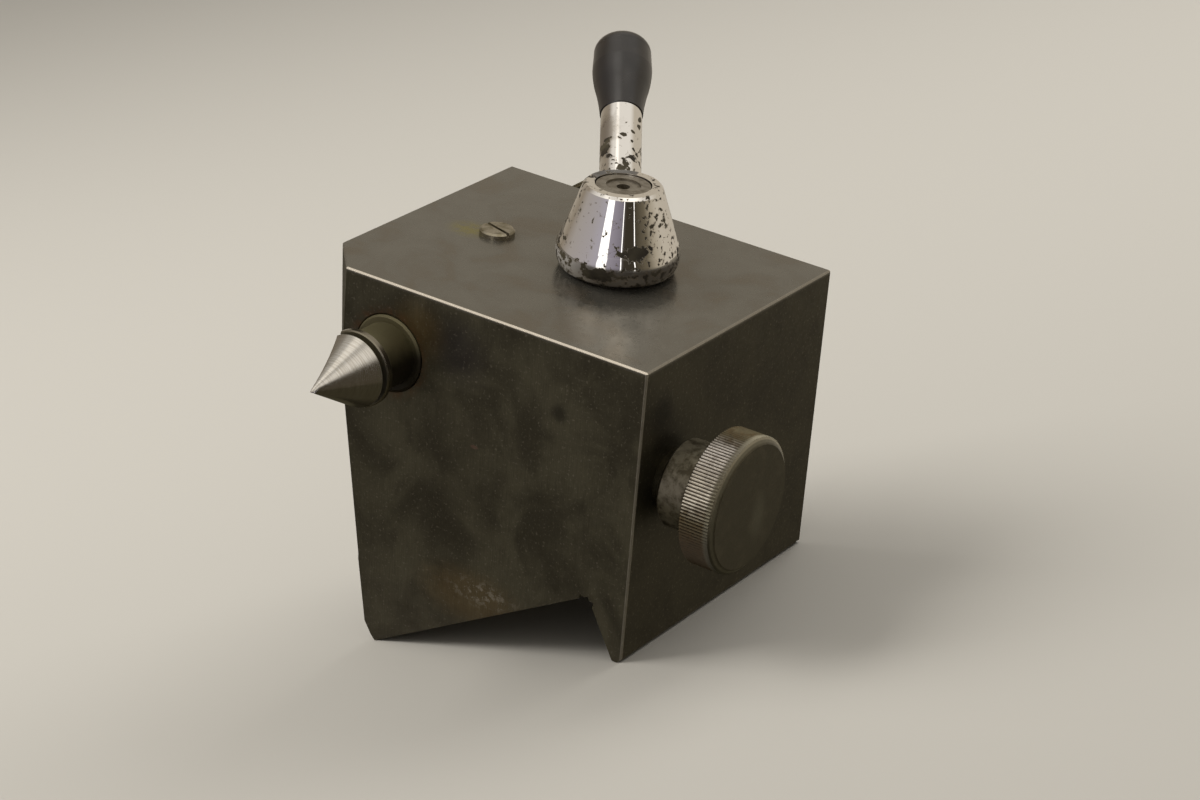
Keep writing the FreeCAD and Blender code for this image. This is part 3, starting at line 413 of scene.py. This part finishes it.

# Polish and a painted highlight: the crests turn nearly white round one place at the knob's upper front.
polish_highlight_far = distance_to(tree, where, POLISH_AND_HIGHLIGHT_PLACE, (0.6, 1, 1))
polish_and_highlight = add(tree, "MapRange", polish_highlight_far, 12.5, 5.5, **SMOOTH)
crest_tint = add(tree, "Mix", polish_and_highlight, colour("625943"), colour("fbf3e4"), **RGBA)
rust_blotch = add(tree, "MapRange", blotch, 0.46, 0.58, **SMOOTH)
rust_left = add(tree, "MapRange", polish_and_highlight, 0.0, 1.0, 0.85, 0.25, **SMOOTH)
rust_over = add(tree, "Math", rust_blotch, rust_left, operation="MULTIPLY")
crest_tint = add(tree, "Mix", rust_over, crest_tint, colour("5b4d35"), **RGBA)
low_side = add(tree, "MapRange", height, -28.0, -40.0, 0.0, 0.75, **SMOOTH)
crest_tint = add(tree, "Mix", low_side, crest_tint, colour("43382a"), **RGBA)
speck_shade = add(tree, "MapRange", speck, 0.35, 0.65, **SMOOTH)
groove_tint = add(tree, "Mix", speck_shade, colour("4f4029"), colour("2f281b"), **RGBA)
on_crest = add(tree, "MapRange", from_axis, GROOVE_MM + 0.05, CREST_MM - 0.08, **SMOOTH)
rim = add(tree, "Mix", on_crest, groove_tint, crest_tint, **RGBA)
print("knurl from", GROOVE_MM, "to", CREST_MM, "mm")

# %% [markdown]
# The rest of the knob is turned: a collar behind the rim, and a flat olive brown face in front of it with
# a trace of wear and a chamfer with painted light and shade, lighter at the top and darker at the bottom.
# How far out and how far from the axis a place lies tells which.

# %% The knob's collar and face
RIM_FROM, RIM_TO = 16.7, 16.95
FACE_FROM, FACE_TO = 20.0, 21.5
WORN_PLACE = (23.0, 19.0, -37.0)

dull_shade = add(tree, "MapRange", blotch, 0.35, 0.65, **SMOOTH)
dull = add(tree, "Mix", dull_shade, colour("4a4433"), colour("37321f"), **RGBA)
collar_shade = add(tree, "MapRange", blotch, 0.4, 0.6, **SMOOTH)
collar = add(tree, "Mix", collar_shade, colour("7c7563"), colour("4a4333"), **RGBA)
on_collar = add(tree, "MapRange", from_axis, 12.0, 11.6, **SMOOTH)
behind = add(tree, "Mix", on_collar, dull, collar, **RGBA)

face_shade = add(tree, "MapRange", blotch, 0.45, 0.75, **SMOOTH)
face = add(tree, "Mix", face_shade, colour("514c3c"), colour("5d5746"), **RGBA)
worn_far = distance_to(tree, where, WORN_PLACE, (1, 1.3, 0.7))
worn_face = add(tree, "MapRange", worn_far, 6.0, 1.0, 0.0, 0.35, **SMOOTH)
face = add(tree, "Mix", worn_face, face, colour("7d7a68"), **RGBA)
face_edge = add(tree, "MapRange", from_axis, 16.0, 16.4, **SMOOTH)
face = add(tree, "Mix", face_edge, face, colour("706b5a"), **RGBA)

on_rim = add(tree, "MapRange", from_axis, RIM_FROM, RIM_TO, **SMOOTH)
in_front = add(tree, "MapRange", across, FACE_FROM, FACE_TO, **SMOOTH)
tint = add(tree, "Mix", on_rim, behind, rim, **RGBA)
tint = add(tree, "Mix", in_front, tint, face, **RGBA)
# Painted light and shade on the front chamfer: lighter at the top, darker at the bottom.
chamfer_painted_light_mask = add(tree, "MapRange", height, -40.0, -20.0, **SMOOTH)
chamfer_lit_and_shaded = add(tree, "Mix", chamfer_painted_light_mask, colour("4d493b"), colour("98917d"), **RGBA)
on_chamfer = add(tree, "Math", in_front, on_rim, operation="MULTIPLY")
tint = add(tree, "Mix", on_chamfer, tint, chamfer_lit_and_shaded, **RGBA)
shine = add(tree, "MapRange", speck, 0.3, 0.7, 0.32, 0.52, **SMOOTH)
bump = add(tree, "Bump", Height=speck, Strength=0.2, Distance=0.00005)
set_surface(tree, tint, shine, OILED_METAL, bump)
print("made", knurled_steel.name)

# %% [markdown]
# ## Plating that has pitted
#
# The hub and the arm were nickel and chrome plated, and rust has come up through the plating in small
# ragged pits with dark middles. A pit is where a noise is high, so we raise the noise where there are
# more of them: towards the foot, on both sides and round the top rim. A few places have lost their
# plating altogether, and they are listed.

# %% Where the plating is pitted
PIT_MM = 1.7
HUB_X = -40.7
HUB_TOP = 22.7
# A place where the plating has gone, its reach, and how it is squashed along each axis.
GONE = [
    ((-29.8, 38.3, 10.0), 4.8, (0.8, 0.8, 2.3)),
    ((-36.9, 32.2, 4.0), 4.6, (0.8, 0.8, 1.9)),
    ((-57.0, 63.3, 23.8), 2.6, (1.0, 0.6, 0.8)),
    ((-52.2, 62.0, 21.6), 1.4, (0.7, 1.0, 1.6)),
    ((-54.4, 67.0, 26.7), 1.0, (0.6, 1.0, 1.0)),
    ((-53.3, 69.9, 26.8), 0.9, (0.7, 1.0, 1.0)),
    ((-53.9, 73.7, 27.0), 1.1, (1.0, 0.5, 1.0)),
    ((-50.3, 65.9, 24.1), 0.9, (0.7, 1.0, 1.0)),
    ((-51.8, 67.5, 25.4), 0.7, (1.0, 1.0, 1.0)),
    ((-55.3, 76.0, 27.9), 1.2, (1.0, 0.4, 1.0)),
]
GONE_RISE = 0.42

pitted_plating, tree, where = new_material("chrome_plating_pitted")
across, along, height = add(tree, "SeparateXYZ", where).node.outputs
ragged = add(tree, "TexNoise", where, Scale=1 / PIT_MM, Detail=5.0, Roughness=0.55, Distortion=0.2)
patch = add(tree, "TexNoise", where, Scale=1 / 7.0, Detail=2.0, Roughness=0.55)
more = add(tree, "MapRange", across, HUB_X + 4.0, HUB_X + 13.0, 0.0, 0.055, **SMOOTH)
for axis, begins, ends, rise in ((height, 9.0, 3.0, 0.085), (height, HUB_TOP - 3.0, HUB_TOP, 0.05),
                                 (across, HUB_X - 3.0, HUB_X - 11.0, 0.085)):
    here = add(tree, "MapRange", axis, begins, ends, 0.0, rise, **SMOOTH)
    more = add(tree, "Math", more, here, operation="ADD")
on_hub = add(tree, "MapRange", height, HUB_TOP + 0.6, HUB_TOP + 0.3, **SMOOTH)
more = add(tree, "Math", more, on_hub, operation="MULTIPLY")
in_patches = add(tree, "Math", patch, 0.12, operation="MULTIPLY")
more = add(tree, "Math", more, in_patches, operation="ADD")
fewer_on_arm = add(tree, "MapRange", on_hub, 1.0, 0.0, 0.0, 0.025, **SMOOTH)
more = add(tree, "Math", more, fewer_on_arm, operation="SUBTRACT")
pitting = add(tree, "Math", ragged, more, operation="ADD")
for place, reach, squash in GONE:
    far = distance_to(tree, where, place, squash)
    gone = add(tree, "MapRange", far, reach, 0.0, 0.0, GONE_RISE, **SMOOTH)
    pitting = add(tree, "Math", pitting, gone, operation="ADD")
pit = add(tree, "MapRange", pitting, 0.7, 0.725, **SMOOTH)
halo = add(tree, "MapRange", pitting, 0.65, 0.71, 0.0, 0.5, **SMOOTH)
print("places without plating:", len(GONE))

# %% [markdown]
# The plating between the pits still mirrors the room, so it gets very low roughness. Its lowest band has
# gone cloudy, and a painted reflection makes that band light on the left and dark on the right. The lower
# left of the arm has gone cloudy too, as it has been handled until the plating is thin.
# The pits are dull, brown and slightly sunk.

# %% Mirror, cloudy band and pits
THIN_PLACE = (-60.0, 64.0, 24.0)
MIRROR, DULL = 0.025, 0.75
PIT_DEPTH = 0.00012

under_edge = add(tree, "MapRange", height, 6.6, 5.2, **SMOOTH)
cloudy_band = add(tree, "Math", under_edge, on_hub, operation="MULTIPLY")
# Painted reflection: the cloudy band is light on the left and dark on the right.
band_painted_reflection_mask = add(tree, "MapRange", across, HUB_X - 6.0, HUB_X + 5.0, **SMOOTH)
band_tint_with_painted_reflection = add(tree, "Mix", band_painted_reflection_mask, colour("ded9d2"), colour("77716a"), **RGBA)
plate = add(tree, "Mix", cloudy_band, colour("f2eee8"), band_tint_with_painted_reflection, **RGBA)

thin_far = distance_to(tree, where, THIN_PLACE, (1.0, 0.35, 0.8))
inwards = add(tree, "Math", ragged, -4.0, operation="MULTIPLY")
thin_far = add(tree, "Math", thin_far, inwards, operation="ADD")
thin = add(tree, "MapRange", thin_far, 4.0, 1.0, **SMOOTH)
thin_cover = add(tree, "Math", thin, 0.6, operation="MULTIPLY")
plate = add(tree, "Mix", thin_cover, plate, colour("8f8270"), **RGBA)

tint = add(tree, "Mix", halo, plate, colour("8a7b66"), **RGBA)
pit_shade = add(tree, "MapRange", patch, 0.4, 0.6, **SMOOTH)
pit_brown = add(tree, "Mix", pit_shade, colour("2b251b"), colour("4a4333"), **RGBA)
tint = add(tree, "Mix", pit, tint, pit_brown, **RGBA)

thin_dulled = add(tree, "Math", thin, 0.5, operation="MULTIPLY")
band_dulled = add(tree, "Math", cloudy_band, 0.3, operation="MULTIPLY")
dulled = add(tree, "Math", pit, thin_dulled, operation="MAXIMUM")
dulled = add(tree, "Math", dulled, band_dulled, operation="MAXIMUM")
shine = add(tree, "MapRange", dulled, 0.0, 1.0, MIRROR, DULL, **SMOOTH)
band_bare = add(tree, "Math", cloudy_band, 0.5, operation="MULTIPLY")
bare = add(tree, "Math", pit, band_bare, operation="MAXIMUM")
metal = add(tree, "MapRange", bare, 0.0, 1.0, 1.0, 0.1, **SMOOTH)
sunk = add(tree, "MapRange", pit, 1.0, 0.0, **SMOOTH)
bump = add(tree, "Bump", Height=sunk, Strength=0.6, Distance=PIT_DEPTH)
set_surface(tree, tint, shine, metal, bump)
print("made", pitted_plating.name)

# %% [markdown]
# ## The moulded grip
#
# The grip is a thermoplastic moulding. It isn't black any more: hands have polished it a little and
# the dust of the shop has turned it a warm dark grey, with faint mottling.

# %% Dull moulded plastic
MOULD_MOTTLE_MM = 5.0
MOULD_FINE_MM = 0.5
HANDLED_SPECULAR = 0.7

moulded_grip, tree, where = new_material("moulded_plastic_dulled")
mottle = add(tree, "TexNoise", where, Scale=1 / MOULD_MOTTLE_MM, Detail=4.0, Roughness=0.55)
mottle_shade = add(tree, "MapRange", mottle, 0.35, 0.65, **SMOOTH)
tint = add(tree, "Mix", mottle_shade, colour("211c18"), colour("1b1714"), **RGBA)
shine = add(tree, "MapRange", mottle, 0.3, 0.7, 0.27, 0.33, **SMOOTH)
fine = add(tree, "TexNoise", where, Scale=1 / MOULD_FINE_MM, Detail=2.0, Roughness=0.55)
bump = add(tree, "Bump", Height=fine, Strength=0.08, Distance=0.00005)
set_surface(tree, tint, shine, 0.0, bump, specular=HANDLED_SPECULAR)
print("made", moulded_grip.name)

# %% [markdown]
# Each solid now gets its material. The frame's solids keep their shape and place, and only their material
# slots change.

# %% Give each solid its material
FINISHES = {
    ground_steel: ["body", "rear_cover"],
    browned_sleeve: ["lock_sleeve"],
    bright_centre: ["centre", "quill"],
    screw_steel: ["guide_screw", "cover_screws", "draw_rod", "rear_knob_screw", "lock_knob_screw",
                  "lock_stud", "lock_nut", "clamp_screw", "retaining_washer"],
    spring_wire: ["return_spring", "hub_spring", "retaining_ring"],
    zinc_insert: ["lever_insert", "hub_screw"],
    knurled_steel: ["lock_knob", "rear_knob"],
    pitted_plating: ["lever_hub", "lever_arm"],
    moulded_grip: ["lever_grip"],
}
for finish, names in FINISHES.items():
    for name in names:
        nodes[name].data.materials.clear()
        nodes[name].data.materials.append(finish)
bare_nodes = set(nodes) - {name for names in FINISHES.values() for name in names}
print("solids without a finish:", sorted(bare_nodes))

# %% [markdown]
# ## The floor and the light
#
# The tailstock stands on a plain pale floor. A large soft light above and to the left does most of the
# work, a weaker one stands behind, and the sky is a plain pale grey.

# %% Floor
FLOOR_SIZE = 6.0

for each in bpy.context.selected_objects:
    each.select_set(False)
bpy.ops.mesh.primitive_plane_add(size=FLOOR_SIZE, location=(0, 0, 0))
floor = bpy.context.object
floor.name = "floor"
plain_floor = bpy.data.materials.new("plain_pale_floor")
plain_floor.use_nodes = True
shader = plain_floor.node_tree.nodes["Principled BSDF"]
shader.inputs["Base Color"].default_value = colour("b9b4aa")
shader.inputs["Roughness"].default_value = 0.75
floor.data.materials.append(plain_floor)
floor.visible_glossy = False
print("floor:", FLOOR_SIZE, "m")

# %% [markdown]
# Bright metal shows what is round it, and an empty sky leaves it grey. So rays that leave a shiny surface
# see a plain room instead: a band of soft tones by bearing, a pale ceiling, a dark floor, three bright
# panes and two lamps. Bearings are counted from the camera, round the block's own upright.

# %% The room that bright metal shows
SKY = colour("d8d6d2")
CEILING = colour("e6e2db")
SHADED_FLOOR = colour("4a4535")
WHITE = colour("ffffff")
CAMERA_BEARING = math.radians(-58.0)
ROOM = [(-180, "b8afa0"), (-125, "8d8375"), (-100, "a39d99"), (-60, "a6a1a4"), (-42, "aaa6b0"),
        (-14, "938e9a"), (5, "807b86"), (10, "55504c"), (13, "3a352c"), (31, "38332a"),
        (38, "4a4438"), (60, "6a6252"), (78, "a89f8e"), (100, "c0b8aa"), (180, "b8afa0")]
# Bearing of a pane, half its width, and how soft its sides are, in degrees.
PANES = [(-28.0, 8.5, 1.5), (7.5, 0.8, 0.4), (33.5, 0.8, 0.4)]
# Direction of a lamp, the dot products where it begins and is full, and its strength.
LAMPS = [((0.533, 0.308, 0.788), 0.86, 0.97, 1.0), ((0.0, -0.342, 0.940), 0.955, 0.985, 1.5)]
SKY_STRENGTH = 0.55
GLARE_STRENGTH = 0.7

world = bpy.data.worlds.new("plain_sky")
world.use_nodes = True
bpy.context.scene.world = world
tree = world.node_tree
sight = add(tree, "TexCoord").node.outputs["Generated"]
from_camera = add(tree, "Mapping", sight, vector_type="VECTOR", Rotation=(0, -LEAN, -CAMERA_BEARING))
toward, aside, upward = add(tree, "SeparateXYZ", from_camera).node.outputs
angle = add(tree, "Math", aside, toward, operation="ARCTAN2")
angle = add(tree, "Math", angle, operation="DEGREES")
bands = add(tree, "ValToRGB", add(tree, "MapRange", angle, -180.0, 180.0))
ramp = bands.node.color_ramp
ramp.elements[0].color = colour(ROOM[0][1])
ramp.elements[1].color = colour(ROOM[-1][1])
for degrees, tone in ROOM[1:-1]:
    stop = ramp.elements.new((degrees + 180) / 360)
    stop.color = colour(tone)

glare = 0.0
for at, half_width, soft in PANES:
    off = add(tree, "Math", angle, at, operation="SUBTRACT")
    off = add(tree, "Math", off, operation="ABSOLUTE")
    pane = add(tree, "MapRange", off, half_width + soft, half_width - soft / 2, **SMOOTH)
    glare = add(tree, "Math", pane, glare, operation="ADD")
room = add(tree, "Mix", glare, bands, WHITE, **RGBA)
high = add(tree, "MapRange", upward, 0.45, 0.8, **SMOOTH)
room = add(tree, "Mix", high, room, CEILING, **RGBA)
low = add(tree, "MapRange", upward, -0.24, -0.5, **SMOOTH)
room = add(tree, "Mix", low, room, SHADED_FLOOR, **RGBA)
for level, full in ((0.55, 0.4), (-0.4, -0.24)):
    within = add(tree, "MapRange", upward, level, full, **SMOOTH)
    glare = add(tree, "Math", glare, within, operation="MULTIPLY")
for direction, begins, full, power in LAMPS:
    facing = add(tree, "VectorMath", from_camera, direction, operation="DOT_PRODUCT")
    shining = add(tree, "MapRange", facing, begins, full, **SMOOTH)
    shining = add(tree, "Math", shining, power, operation="MULTIPLY")
    glare = add(tree, "Math", glare, shining, operation="ADD")

glossy = add(tree, "LightPath").node.outputs["Is Glossy Ray"]
background = tree.nodes["Background"]
seen = add(tree, "Mix", glossy, SKY, room, **RGBA)
tree.links.new(seen, background.inputs["Color"])
room_strength = add(tree, "Math", glare, GLARE_STRENGTH, operation="MULTIPLY")
room_strength = add(tree, "Math", room_strength, 1.0, operation="ADD")
strength = add(tree, "Mix", glossy, SKY_STRENGTH, room_strength)
tree.links.new(strength, background.inputs["Strength"])
print("panes:", len(PANES), "lamps:", len(LAMPS))


# %% [markdown]
# Two square area lights give the shadows their soft edges. Shiny metal already sees the room, so the
# lights are hidden from glossy rays.

# %% Light
LIGHT_SIZE = 0.9


def soft_light(name, place, aim, power):
    """A square area light at a place, in metres, that looks at another place."""
    lamp = bpy.data.lights.new(name, "AREA")
    lamp.shape = "SQUARE"
    lamp.size = LIGHT_SIZE
    lamp.energy = power
    holder = bpy.data.objects.new(name, lamp)
    holder.location = place
    holder.rotation_euler = (Vector(aim) - Vector(place)).to_track_quat("-Z", "Y").to_euler()
    bpy.context.scene.collection.objects.link(holder)
    holder.visible_glossy = False


middle = (cad_box[0] + cad_box[1]) / 2
soft_light("soft_main", (-0.75, -0.25, 1.05), middle, 14.0)
soft_light("soft_back", (0.30, 1.0, 0.9), middle, 9.0)
bpy.context.scene.view_settings.view_transform = "Standard"
print("lights aimed at", [round(v, 3) for v in middle])

# %% [markdown]
# ## The camera
#
# The camera was solved from the block's straight edges, in the block's own frame. It looks down at the
# block from the front right with a lens of about 100 mm, and it is rolled a little, as in the photograph.

# %% Camera
CAMERA_ON_BLOCK = Vector((367.14, -605.81, 328.01))
VIEW_ON_BLOCK = Vector((-0.4798, 0.7657, -0.4284))
UP_ON_BLOCK = Vector((-0.2991, 0.3163, 0.9003))
LENS_MM = 99.86
SENSOR_MM = 36.0

ahead = (block_turn @ VIEW_ON_BLOCK).normalized()
right = ahead.cross(block_turn @ UP_ON_BLOCK).normalized()
up = right.cross(ahead)
lens = bpy.data.cameras.new("camera")
lens.lens = LENS_MM
lens.sensor_width = SENSOR_MM
camera = bpy.data.objects.new("camera", lens)
bpy.context.scene.collection.objects.link(camera)
camera_place = (block_turn @ CAMERA_ON_BLOCK + block_origin) * MM
camera_turn = Matrix((right, up, -ahead)).transposed()
camera.matrix_world = Matrix.Translation(camera_place) @ camera_turn.to_4x4()
bpy.context.scene.camera = camera
print("camera at", [round(v, 3) for v in camera.location])
